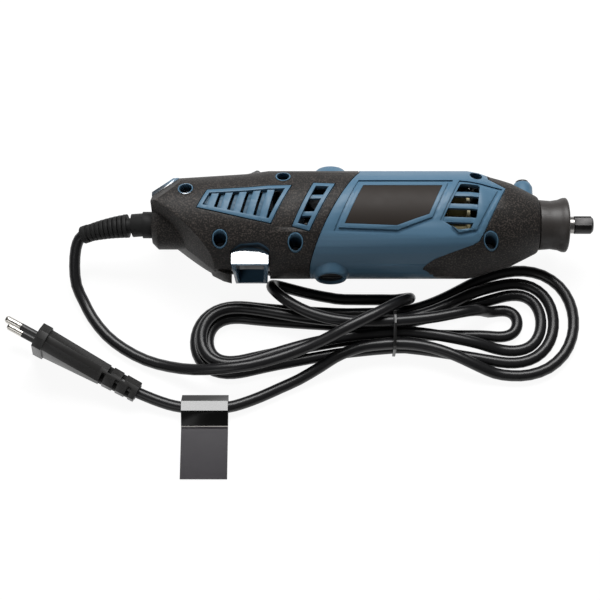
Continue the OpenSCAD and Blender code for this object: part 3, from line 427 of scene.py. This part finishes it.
BLUE = (0.075, 0.158, 0.240)
blue_plastic = moulded("blue_plastic", BLUE, 0.44, 0.5, 0.010, 0.05,
                       Specular_IOR_Level=0.3, Coat_IOR=2.0, Coat_Roughness=0.1)
ring_plastic = moulded("ring_plastic", BLUE, 0.22, 0.9, 0.004, 0.04,
                       Coat_IOR=2.0, Coat_Roughness=0.03)
moulded("black_plastic", (0.014, 0.014, 0.015), 0.42)
moulded("inner_plastic", (0.020, 0.020, 0.022), 0.5)
moulded("cap_plastic", (0.026, 0.022, 0.020), 0.48, 0.4, 0.012)
moulded("plug_plastic", (0.013, 0.0125, 0.012), 0.4, 0.3, 0.010)
moulded("plate_film", (0.021, 0.016, 0.013), 0.55, 1.2, 0.004, 0.03, Specular_IOR_Level=0.2)
moulded("fan_nylon", (0.25, 0.22, 0.12), 0.5)
moulded("lead_plastic", (0.09, 0.035, 0.02), 0.35)
moulded("carbon", (0.022, 0.022, 0.024), 0.5)
moulded("board", (0.03, 0.12, 0.05), 0.3)
print("plastics:", sorted(FINISHES))

# %% [markdown]
# The soft grip
#
# The grips are a soft skin over the hard casing, with a coarse pebbled texture. Real pebbles
# would cost millions of faces, so a bump gives them: scattered cells for the pebbles and fine
# noise for their rough skin. The colour varies from speck to speck, with lighter brownish specks
# and smears over the dark rubber.

# %% Make the grip's rubber
PEBBLE_MM, SKIN_MM, SPECK_MM, SMEAR_MM = 0.62, 0.45, 0.8, 22
SPECK_EDGE = (0.46, 0.7)  # the noise levels between which dark turns to the lighter speck colour
SPECK_SHARE = 0.8  # how much of the lighter colour comes in specks; the rest in wider smears
DARK_RUBBER, LIGHT_SPECK_RUBBER = (0.002, 0.002, 0.002), (0.060, 0.050, 0.044)
WORN_MM, WORN = 14, 0.14  # size of the worn patches, and how much the roughness varies
PEBBLE_DEPTH_MM = 0.08
grip_rubber = Finish("grip_rubber", (0.030, 0.026, 0.023), 0.62, Specular_IOR_Level=0.3)
specks = grip_rubber.noise(SPECK_MM, 1).step(*SPECK_EDGE)
speck_mix = specks * SPECK_SHARE + grip_rubber.noise(SMEAR_MM, 3) * (1 - SPECK_SHARE)
grip_rubber.set(Base_Color=grip_rubber.mix(speck_mix, DARK_RUBBER, LIGHT_SPECK_RUBBER),
                Roughness=grip_rubber.noise(WORN_MM, 2) * WORN + 0.5)
grip_rubber.bump(grip_rubber.noise(SKIN_MM, 3) * 0.7 + grip_rubber.cells(PEBBLE_MM) * 0.6,
                 PEBBLE_DEPTH_MM)
print("grip:", len(grip_rubber.tree.nodes), "nodes")

# %% [markdown]
# Metals
#
# Turned and ground metal keeps the marks of its tool: fine rings round the axis on a shaft,
# lines along it on a drawn pin. Noise that is drawn out in one direction gives both, and
# because the marks change the roughness, they show in the reflections, as real ones do.

# %% Make the metals
DRAWN_OUT = 0.05  # the scale of the noise in the direction that the marks run
MARK_SHINE, STAIN_SHINE = 0.12, 0.1  # how much the roughness varies with each
STAIN_MM, STAIN_DARK = 3, 0.86


def metal(name, color, roughness, marks_mm=0.25, along_x=False):
    """Turned or ground metal: fine marks round the x axis, or along it."""
    finish = Finish(name, color, roughness, 1.0)
    stretch = (DRAWN_OUT, 1, 1) if along_x else (1, DRAWN_OUT, DRAWN_OUT)
    place = finish.node("ShaderNodeMapping", {}, {"Vector": finish.place, "Scale": stretch})[0]
    marks = finish.noise(marks_mm, 2, where=place)
    stain = finish.noise(STAIN_MM, 3)
    finish.set(Roughness=marks * MARK_SHINE + stain * STAIN_SHINE + (roughness - STAIN_SHINE),
               Base_Color=finish.mix(stain, [c * STAIN_DARK for c in color], color))
    finish.bump(marks, 0.004)


for row in (("bearing_steel", (0.34, 0.33, 0.32), 0.3),
            ("collet_steel", (0.42, 0.41, 0.40), 0.34),
            ("blackened_steel", (0.045, 0.044, 0.044), 0.36),
            ("core_steel", (0.24, 0.24, 0.25), 0.5, 0.6),
            ("screw_steel", (0.30, 0.30, 0.31), 0.36, 0.4),
            ("spring_steel", (0.5, 0.5, 0.5), 0.3),
            ("pin_nickel", (0.62, 0.60, 0.56), 0.22, 0.5, True),
            ("brass", (0.62, 0.42, 0.16), 0.34),
            ("commutator_copper", (0.62, 0.32, 0.17), 0.38),
            ("enamelled_copper", (0.42, 0.26, 0.08), 0.42, 0.7)):
    metal(*row)
print("finishes so far:", len(FINISHES))

# %% [markdown]
# Cord, guard, tie and tag
#
# The cord's sheath is smooth and fairly glossy, the guard where it leaves the tool is duller,
# and the tag is a film of soft plastic folded over the cord. The same moulded finish serves
# for all, with larger and shallower grain on the film.

# %% Make the cord's finishes
cord_rubber = moulded("cord_rubber", (0.010, 0.010, 0.011), 0.32, 0.8, 0.006, 0.1,
                      Specular_IOR_Level=0.36)
guard_rubber = moulded("guard_rubber", (0.012, 0.012, 0.012), 0.6, 0.5, 0.012, 0.06,
                       Specular_IOR_Level=0.25)
moulded("tie_plastic", (0.012, 0.012, 0.012), 0.3)
tag_film = moulded("tag_film", (0.012, 0.012, 0.013), 0.22, 2.5, 0.01, 0.05,
                   Coat_IOR=2.0, Coat_Roughness=0.06, Specular_IOR_Level=0.25)
print("finishes so far:", len(FINISHES))

# %% [markdown]
# The tag's two blacks
#
# The tag is deep black round the cord and dark grey on its leaf, with a fine light line where
# the two meet. The border is a place on the film, so steps on the Y coordinate draw it. The
# level top of the fold is the glossiest spot, and a step on the height lets its coat in.

# %% Draw the tag's line
TAG_LINE = (0.1053, 0.1057)  # m in front of the tool's axis
TAG_TOP = (0.0071, 0.0073)  # m above the table
TAG_GLOSS = 0.68
FOLD_BLACK, LEAF_GREY, LINE_GREY = (0.004,) * 3, (0.040, 0.037, 0.042), (0.5, 0.48, 0.46)
_, tag_y, tag_z = tag_film.axes()
in_front = tag_y * -1
leaf = in_front.above(TAG_LINE[0])
line = leaf - in_front.above(TAG_LINE[1])
tag_film.set(Base_Color=tag_film.mix(line, tag_film.mix(leaf, FOLD_BLACK, LEAF_GREY), LINE_GREY),
             Coat_Weight=tag_z.step(*TAG_TOP) * TAG_GLOSS)
print("tag:", len(tag_film.tree.nodes), "nodes")

# %% [markdown]
# Painted shade in the casing's openings
#
# Vents, gaps, recesses and the hanging ring's pocket look darker than the outer surface, since
# little light gets into them and out again, so their blue is darkened with depth as painted
# shade. The depth below the outer surface is known everywhere. It is the outline's radius at
# this station, less the distance from the axis. The outline is a cone at the tail, a cylinder
# and a cone at the nose, whichever is smallest.

# %% Paint shade into the casing with depth
TOOL_MID = 120.45  # mm from the tail's face to the middle of the tool
AXIS_Z = 29.2  # mm above the table
BARREL_R = 29.2
TAIL_CONE, NOSE_CONE = (0.08, 24.0), (-0.3, 80.8)  # slope, and radius at station 0
EDGE_MM, WELL_MM = (1.2, 2.2), (2.6, 4.2)  # the depths over which the two shades grow
EDGE_SHARE = 0.4  # how much of the darkening is done by the first
SHADED_WELL_BLUE = 0.16  # share of the colour that is left in the deepest places
FLOW_SHADE = 0.1  # how far the flow marks move between the two blues
house_x, house_y, house_z = blue_plastic.axes()
station = house_x * MM_PER_M + TOOL_MID
drop = house_z * MM_PER_M - AXIS_Z
tail, nose = [station * slope + start for slope, start in (TAIL_CONE, NOSE_CONE)]
from_axis = (house_y * house_y * MM_PER_M ** 2 + drop * drop).power(0.5)
depth = tail.smaller(BARREL_R).smaller(nose) - from_axis
blue_shade = blue_plastic.noise(FLOW_MM, 2) * FLOW_SHADE + (0.5 - FLOW_SHADE / 2)
# painted shade: the blue darkens in two steps with depth below the outer surface
blue_plastic.set(Base_Color=blue_plastic.mix(
    depth.step(*EDGE_MM) * EDGE_SHARE + depth.step(*WELL_MM) * (1 - EDGE_SHARE),
    blue_plastic.mix(blue_shade, [c * 0.9 for c in BLUE], [c * 1.1 for c in BLUE]),
    [c * SHADED_WELL_BLUE for c in BLUE]))
print("casing:", len(blue_plastic.tree.nodes), "nodes")

# %% [markdown]
# Polished spots
#
# Thumbs polish what they turn and pull: the speed dial with the shoulder beside it, and the
# level top of the hanging ring. Both are small places, so masks on the coordinates let the
# clear coat in there and leave the rest dull.

# %% Let the coat in where hands rub
DIAL_X, DIAL_Z = 0.095, 0.034  # m behind the tool's middle, m above the table
RING_TOP = (0.0424, 0.0430)  # m above the table
RING_EDGE = -0.0289  # m; the ring's outermost edge stays dull
blue_plastic.set(Coat_Weight=(house_x * -1).above(DIAL_X) * house_z.above(DIAL_Z))
_, ring_y, ring_z = ring_plastic.axes()
ring_plastic.set(Coat_Weight=ring_z.step(*RING_TOP) * ring_y.above(RING_EDGE))
print("coated:", blue_plastic.material.name, ring_plastic.material.name)

# %% [markdown]
# Every node gets its finish
#
# The record names a material slot for each node, and the finishes have the slots' names, so a
# loop can hand them out. Two nodes get a finish of their own: the ring is glossier than the
# casing, and the guard is duller than the cord.

# %% Hand out the finishes
for node, slot in slot_of.items():
    materials = frame["nodes"][node].data.materials
    materials.clear()
    materials.append(FINISHES[slot].material)
mains_cord.data.materials.append(cord_rubber.material)
frame["nodes"]["hanging_ring"].data.materials[0] = ring_plastic.material
frame["nodes"]["cord_guard"].data.materials[0] = guard_rubber.material
print("nodes finished:", len(slot_of))

# %% [markdown]
# Rounded edges on the moulded pieces
#
# A solid from the frame has razor edges, and no moulding has. A copy of each moulded piece is
# merged into a proper mesh, its flat triangles are joined to larger faces, and a Bevel
# modifier rounds every sharp edge, so that edges catch the light as they do on the real one.
# The ring and the tag have level tops that mirror a lamp, and these tops stay flat-shaded.

# %% Copy a node and round its edges
LEVEL_TOPPED = ("hanging_ring", "cord_tag")
LEVEL = 0.999  # a face whose normal points up this much is level
MERGE_MM, JOIN_ANGLE, SHARP_ANGLE = 0.002, 0.5, 28


def merged_mesh(node):
    """A copy of a node's mesh, with its loose triangles joined to faces."""
    mesh = frame["nodes"][node].data.copy()
    mesh.name = node + "_shell"
    shape = bmesh.new()
    shape.from_mesh(mesh)
    bmesh.ops.remove_doubles(shape, verts=shape.verts, dist=MERGE_MM * MM)
    bmesh.ops.dissolve_limit(shape, angle_limit=math.radians(JOIN_ANGLE), verts=shape.verts,
                             edges=shape.edges, delimit=set())
    for face in shape.faces:
        face.smooth = not (node in LEVEL_TOPPED and face.normal.z > LEVEL)
    shape.to_mesh(mesh)
    shape.free()
    if mesh.has_custom_normals:
        # zero vectors clear the old normals, which no longer fit the joined faces
        mesh.normals_split_custom_set([(0, 0, 0)] * len(mesh.loops))
    return mesh


def rounded_copy(node, width_mm):
    """A piece that stands for the node, with its sharp edges rounded."""
    mesh = merged_mesh(node)
    piece = bpy.data.objects.new(mesh.name, mesh)
    bpy.context.scene.collection.objects.link(piece)
    bevel = piece.modifiers.new("edge", "BEVEL")
    bevel.width, bevel.segments = width_mm * MM, 2
    bevel.limit_method, bevel.angle_limit = "ANGLE", math.radians(SHARP_ANGLE)
    bevel.harden_normals = True
    bevel.use_clamp_overlap = True
    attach(piece, frame["nodes"][node]["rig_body"])
    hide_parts(node)
    return piece


# the width of each piece's rounding, in mm
ROUNDED = {"cord_tag": 0.1, "twist_tie": 0.3, "upper_housing": 0.3, "lower_housing": 0.3,
           "tail_grip_upper": 0.4, "tail_grip_lower": 0.4, "nose_grip_upper": 0.4,
           "nose_grip_lower": 0.4, "hanging_ring": 0.5, "switch_slider": 0.3,
           "lock_button": 0.4, "nose_cap": 0.3, "collet_nut": 0.25, "cord_guard": 0.35,
           "brush_cap_front": 0.25, "brush_cap_back": 0.25, "speed_dial": 0.2,
           "plug_body": 0.6, "lock_spring": 0.05}
for node, width in ROUNDED.items():
    shell = rounded_copy(node, width)
    print(node, len(shell.data.polygons), "faces")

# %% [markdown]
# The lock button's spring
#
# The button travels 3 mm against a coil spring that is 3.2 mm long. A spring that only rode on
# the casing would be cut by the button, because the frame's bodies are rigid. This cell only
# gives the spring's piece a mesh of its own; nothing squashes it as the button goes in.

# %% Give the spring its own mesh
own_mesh(bpy.data.objects["lock_spring_shell"])

# %% [markdown]
# The plug's strain relief
#
# The neck of the plug is slit from both sides so that it can bend, but the slits are shallow:
# a flat core fills the middle. A cube whose end faces are scaled to the neck's two sections is
# enough for it, because only narrow strips of it show at the bottom of the slits, in shade. The
# core is coloured darker than the plug's plastic, as painted shade for those strips.

# %% Fill the middle of the plug's neck
PLUG_TAIL = (-125.2, -88, 6)  # mm, where the cord goes into the plug
PLUG_TURN, PLUG_RISE, PLUG_ROLL = 153.6, 10.9, -5  # degrees
NECK = ((0.8, 9.5, 6.6), (22.5, 10.4, 8.4))  # mm: distance along, thickness, height of each end
NECK_EDGE = 1.2
# the core's plastic is darker than the plug's, as painted shade at the bottom of the slits
slit_shade_plastic = moulded("slit_shade_plastic", (0.003, 0.003, 0.003), 0.7, 0.3, 0.010,
                       Specular_IOR_Level=0.3)
core = bmesh.new()
bmesh.ops.create_cube(core, size=1)
for end, (x, thick, tall) in zip((-0.5, 0.5), NECK):
    for v in [v for v in core.verts if v.co.x == end]:
        v.co = (x, v.co.y * thick, v.co.z * tall)
bmesh.ops.bevel(core, geom=core.edges[:], offset=NECK_EDGE, segments=2, profile=0.5,
                affect="EDGES", material=-1)
place = (Matrix.Translation(PLUG_TAIL) @ Matrix.Rotation(math.radians(PLUG_TURN), 4, "Z")
         @ Matrix.Rotation(math.radians(-PLUG_RISE), 4, "Y")
         @ Matrix.Rotation(math.radians(PLUG_ROLL), 4, "X"))
bmesh.ops.transform(core, matrix=Matrix.Scale(MM, 4) @ place, verts=core.verts)
core_data = bpy.data.meshes.new("plug_neck_core")
core.to_mesh(core_data)
core.free()
neck_core = bpy.data.objects.new("plug_neck_core", core_data)
bpy.context.scene.collection.objects.link(neck_core)
core_data.materials.append(slit_shade_plastic.material)
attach(neck_core, frame["nodes"]["plug_body"]["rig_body"])
print("plug_neck_core:", len(core_data.polygons), "faces")

# %% [markdown]
# The floor
#
# The tool stands on white: the floor is pale and shows as white to the camera and in
# reflections, but it still takes a soft shadow. A brighter lamp would bleach the tool too, so
# the floor mixes a plain diffuse paint with a glow that only those two kinds of ray see.

# %% Lay the floor
FLOOR_PAINT, FLOOR_GLOW = 0.82, 1.08
SHADOW_KEPT = 0.14  # share of the paint, and so of the shadow, that still shows
FLOOR_DROP = 0.0002  # m; keeps the floor off the tool's lowest faces
FLOOR_REACH = 3  # m each way from the middle
floor_mesh = bmesh.new()
bmesh.ops.create_grid(floor_mesh, x_segments=1, y_segments=1, size=FLOOR_REACH)
floor_data = bpy.data.meshes.new("studio_floor")
floor_mesh.to_mesh(floor_data)
floor_mesh.free()
floor = bpy.data.objects.new("studio_floor", floor_data)
floor.location = (0, 0, -FLOOR_DROP)
bpy.context.scene.collection.objects.link(floor)
white = bpy.data.materials.new("studio_white")
white.use_nodes = True
white.node_tree.nodes.clear()
stage = Nodes(white.node_tree)
ray = stage.node("ShaderNodeLightPath", {}, {})
paint = stage.node("ShaderNodeBsdfDiffuse", {}, {"Color": (*(FLOOR_PAINT,) * 3, 1)})[0]
glow = stage.node("ShaderNodeEmission", {}, {"Strength": FLOOR_GLOW})[0]
share = ray["Is Camera Ray"].larger(ray["Is Glossy Ray"]) * (1 - SHADOW_KEPT)
surface = stage.node("ShaderNodeMixShader", {}, {0: share, 1: paint, 2: glow})[0]
stage.node("ShaderNodeOutputMaterial", {}, {"Surface": surface})
floor_data.materials.append(white)
print("floor:", len(white.node_tree.nodes), "nodes")

# %% [markdown]
# The backdrop
#
# The world is the backdrop: nearly white to the camera, a faint grey in reflections so that
# gloss keeps its contrast, and almost nothing as a light, because the lamps do that work.

# %% Paint the world
SKY_SEEN, SKY_IN_GLOSS, SKY_FILL = 0.98, 0.1, 0.012
world = bpy.data.worlds.new("studio_world")
bpy.context.scene.world = world
world.use_nodes = True
sky = Nodes(world.node_tree)
ray = sky.node("ShaderNodeLightPath", {}, {})
sky.put(world.node_tree.nodes["Background"], {
    "Color": (1, 1, 1, 1),
    "Strength": ray["Is Camera Ray"] * SKY_SEEN + ray["Is Glossy Ray"] * SKY_IN_GLOSS + SKY_FILL})
print("world:", len(world.node_tree.nodes), "nodes")

# %% [markdown]
# The lamps
#
# One large soft light from above and behind models the barrel, and a weak one from the front
# opens its shadow side, at a level where colours show about as they are. A third, small and
# faint, stands where the level top of the tag mirrors it into the camera.

# %% Hang the lamps
def soft_light(name, place, target, size, watts):
    """A rectangular lamp at a place, turned towards a target."""
    data = bpy.data.lights.new(name, "AREA")
    data.shape = "RECTANGLE"
    data.size, data.size_y = size
    data.energy = watts
    lamp = bpy.data.objects.new(name, data)
    lamp.location = place
    lamp.rotation_euler = (Vector(target) - Vector(place)).to_track_quat("-Z", "Y").to_euler()
    bpy.context.scene.collection.objects.link(lamp)


TAG_FOLD = (-0.0892, -0.0957, 0.0073)
soft_light("key_softbox", (0.0, 0.46, 0.80), (0, 0, 0), (0.8, 0.4), 11.5)
soft_light("tag_glint", (-0.144, 0.154, 0.871), TAG_FOLD, (0.15, 0.09), 0.29)
soft_light("front_fill", (-0.5, -0.9, 0.7), (0, 0, 0), (0.6, 0.6), 1.6)
bpy.context.scene.view_settings.view_transform = "Standard"
